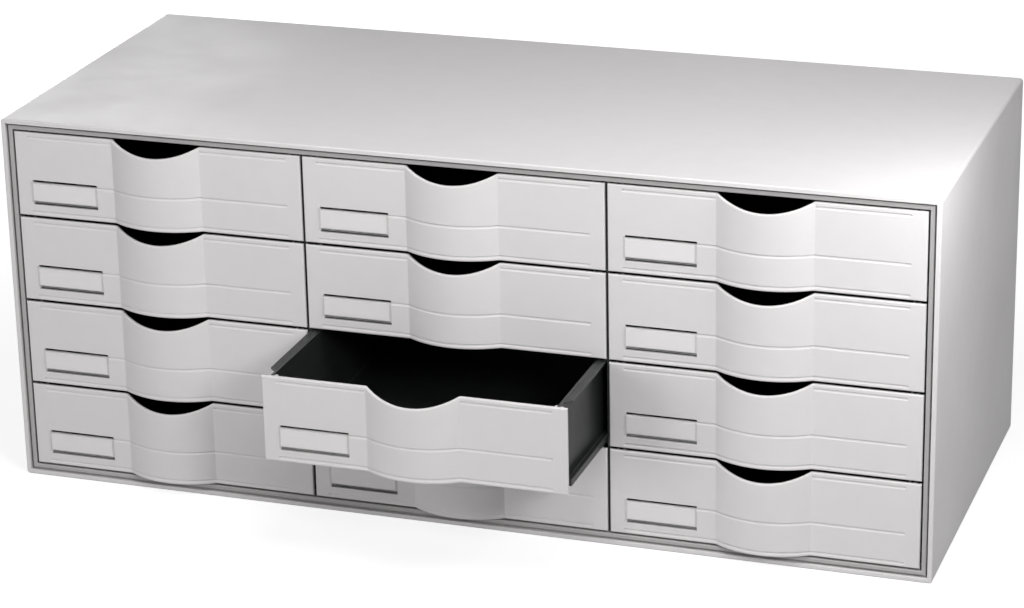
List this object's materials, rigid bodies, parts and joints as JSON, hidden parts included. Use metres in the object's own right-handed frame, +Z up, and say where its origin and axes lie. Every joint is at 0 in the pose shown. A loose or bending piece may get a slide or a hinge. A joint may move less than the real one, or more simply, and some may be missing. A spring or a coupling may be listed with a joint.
{
  "type": "storage drawer cabinet",
  "caption": "Wide, low plastic drawer cabinet: a grey sleeve casing with shallow black trays behind fronts with a curved finger bulge, a scooped top edge and a label window.",
  "frame": {"origin": "centre of the casing's base, on the surface it stands on", "axes": "+Z up, -Y the way the drawers open, +X to the right as the user faces the drawers"},
  "size_m": [0.814, 0.4576, 0.329],
  "materials": {
    "casing_grey": "fine satin light grey plastic",
    "front_grey": "fine satin light grey plastic",
    "black_plastic": "satin black plastic",
    "clear_plastic": "clear, slightly frosted plastic",
    "paper_card": "matte uncoated card",
    "screw_steel": "zinc plated"
  },
  "bodies": {
    "cabinet": {"casing_shell": "casing_grey", "front_frame": "casing_grey", "back_panel": "casing_grey", "back_screws": "screw_steel", "side_runner_panel_left": "black_plastic", "side_runner_panel_right": "black_plastic", "divider_left": "black_plastic", "divider_right": "black_plastic"},
    "drawer_left_1": {"drawer_front_left_1": "front_grey", "tray_left_1": "black_plastic", "label_window_left_1": "clear_plastic", "label_card_left_1": "paper_card"},
    "drawer_left_2": {"drawer_front_left_2": "front_grey", "tray_left_2": "black_plastic", "label_window_left_2": "clear_plastic", "label_card_left_2": "paper_card"},
    "drawer_left_3": {"drawer_front_left_3": "front_grey", "tray_left_3": "black_plastic", "label_window_left_3": "clear_plastic", "label_card_left_3": "paper_card"},
    "drawer_left_4": {"drawer_front_left_4": "front_grey", "tray_left_4": "black_plastic", "label_window_left_4": "clear_plastic", "label_card_left_4": "paper_card"},
    "drawer_middle_1": {"drawer_front_middle_1": "front_grey", "tray_middle_1": "black_plastic", "label_window_middle_1": "clear_plastic", "label_card_middle_1": "paper_card"},
    "drawer_middle_2": {"drawer_front_middle_2": "front_grey", "tray_middle_2": "black_plastic", "label_window_middle_2": "clear_plastic", "label_card_middle_2": "paper_card"},
    "drawer_middle_3": {"drawer_front_middle_3": "front_grey", "tray_middle_3": "black_plastic", "label_window_middle_3": "clear_plastic", "label_card_middle_3": "paper_card"},
    "drawer_middle_4": {"drawer_front_middle_4": "front_grey", "tray_middle_4": "black_plastic", "label_window_middle_4": "clear_plastic", "label_card_middle_4": "paper_card"},
    "drawer_right_1": {"drawer_front_right_1": "front_grey", "tray_right_1": "black_plastic", "label_window_right_1": "clear_plastic", "label_card_right_1": "paper_card"},
    "drawer_right_2": {"drawer_front_right_2": "front_grey", "tray_right_2": "black_plastic", "label_window_right_2": "clear_plastic", "label_card_right_2": "paper_card"},
    "drawer_right_3": {"drawer_front_right_3": "front_grey", "tray_right_3": "black_plastic", "label_window_right_3": "clear_plastic", "label_card_right_3": "paper_card"},
    "drawer_right_4": {"drawer_front_right_4": "front_grey", "tray_right_4": "black_plastic", "label_window_right_4": "clear_plastic", "label_card_right_4": "paper_card"}
  },
  "joints": [
    {"name": "slide_left_1", "type": "slide", "parent": "cabinet", "child": "drawer_left_1", "axis": [0, -1, 0], "range_m": [0, 0.24]},
    {"name": "slide_left_2", "type": "slide", "parent": "cabinet", "child": "drawer_left_2", "axis": [0, -1, 0], "range_m": [0, 0.24]},
    {"name": "slide_left_3", "type": "slide", "parent": "cabinet", "child": "drawer_left_3", "axis": [0, -1, 0], "range_m": [0, 0.24]},
    {"name": "slide_left_4", "type": "slide", "parent": "cabinet", "child": "drawer_left_4", "axis": [0, -1, 0], "range_m": [0, 0.24]},
    {"name": "slide_middle_1", "type": "slide", "parent": "cabinet", "child": "drawer_middle_1", "axis": [0, -1, 0], "range_m": [0, 0.24]},
    {"name": "slide_middle_2", "type": "slide", "parent": "cabinet", "child": "drawer_middle_2", "axis": [0, -1, 0], "range_m": [0, 0.24]},
    {"name": "slide_middle_3", "type": "slide", "parent": "cabinet", "child": "drawer_middle_3", "axis": [0, -1, 0], "range_m": [-0.105, 0.135]},
    {"name": "slide_middle_4", "type": "slide", "parent": "cabinet", "child": "drawer_middle_4", "axis": [0, -1, 0], "range_m": [0, 0.24]},
    {"name": "slide_right_1", "type": "slide", "parent": "cabinet", "child": "drawer_right_1", "axis": [0, -1, 0], "range_m": [0, 0.24]},
    {"name": "slide_right_2", "type": "slide", "parent": "cabinet", "child": "drawer_right_2", "axis": [0, -1, 0], "range_m": [0, 0.24]},
    {"name": "slide_right_3", "type": "slide", "parent": "cabinet", "child": "drawer_right_3", "axis": [0, -1, 0], "range_m": [0, 0.24]},
    {"name": "slide_right_4", "type": "slide", "parent": "cabinet", "child": "drawer_right_4", "axis": [0, -1, 0], "range_m": [0, 0.24]}
  ]
}
